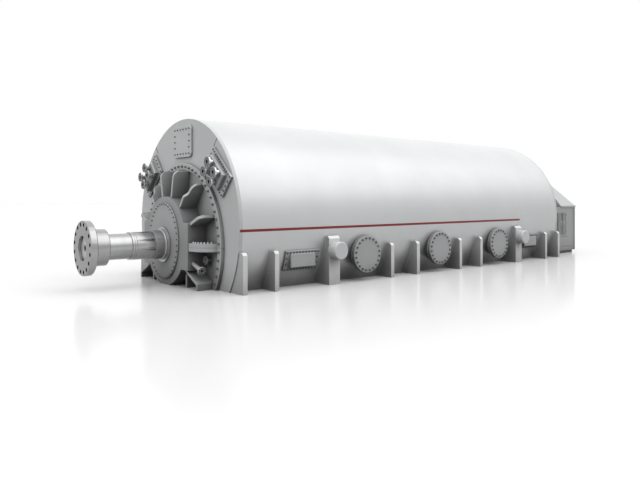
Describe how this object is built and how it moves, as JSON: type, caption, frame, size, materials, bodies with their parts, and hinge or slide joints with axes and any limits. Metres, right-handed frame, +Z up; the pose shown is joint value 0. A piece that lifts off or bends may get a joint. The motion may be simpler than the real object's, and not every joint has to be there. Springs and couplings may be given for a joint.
{
  "type": "turbo generator",
  "caption": "Turbo generator: long round casing on side feet, ribbed end brackets, shaft with a bolted coupling flange, tilted cooler covers and an exciter housing.",
  "frame": {"origin": "on the floor, under the middle of the casing and under the shaft", "axes": "+X along the shaft from the coupling to the exciter, +Z up, -Y towards the side the picture shows"},
  "size_m": [13.711, 4.56, 3.09],
  "materials": {
    "casing_paint": "satin light grey paint",
    "frame_paint": "satin mid grey paint",
    "bright_steel": "turned and ground steel",
    "seal_steel": "machined steel",
    "exciter_paint": "satin grey paint",
    "hood_paint": "satin light grey paint",
    "door_paint": "satin dark grey paint"
  },
  "bodies": {
    "stator": {"casing_shell": "casing_paint", "exciter_base": "exciter_paint", "exciter_doors": "door_paint", "exciter_hood": "hood_paint", "exciter_walls": "exciter_paint", "far_feet": "frame_paint", "far_front_cooler_cover": "frame_paint", "far_front_port": "frame_paint", "far_front_side_cover": "frame_paint", "far_front_trunnion": "frame_paint", "far_front_water_nozzles": "seal_steel", "far_middle_port": "frame_paint", "far_rear_cooler_cover": "frame_paint", "far_rear_port": "frame_paint", "far_rear_side_cover": "frame_paint", "far_rear_trunnion": "frame_paint", "far_rear_water_nozzles": "seal_steel", "front_bearing_cover": "frame_paint", "front_bearing_housing": "frame_paint", "front_bracket_lower": "frame_paint", "front_bracket_ribs": "frame_paint", "front_bracket_upper": "frame_paint", "front_drain_pipes": "frame_paint", "front_end_plate": "frame_paint", "front_manhole_cover": "frame_paint", "front_shaft_seal": "seal_steel", "near_feet": "frame_paint", "near_front_cooler_cover": "frame_paint", "near_front_port": "frame_paint", "near_front_side_cover": "frame_paint", "near_front_trunnion": "frame_paint", "near_front_water_nozzles": "seal_steel", "near_middle_port": "frame_paint", "near_rear_cooler_cover": "frame_paint", "near_rear_port": "frame_paint", "near_rear_side_cover": "frame_paint", "near_rear_trunnion": "frame_paint", "near_rear_water_nozzles": "seal_steel", "rear_bearing_housing": "frame_paint", "rear_bracket_lower": "frame_paint", "rear_bracket_ribs": "frame_paint", "rear_bracket_upper": "frame_paint", "rear_end_plate": "frame_paint", "rear_manhole_cover": "frame_paint"},
    "rotor": {"coupling_flange": "bright_steel", "shaft": "bright_steel"}
  },
  "joints": [
    {"name": "rotor_spin", "type": "hinge", "parent": "stator", "child": "rotor", "pos_m": [-6.02, 0, 0.735], "axis": [1, 0, 0], "continuous": true}
  ]
}
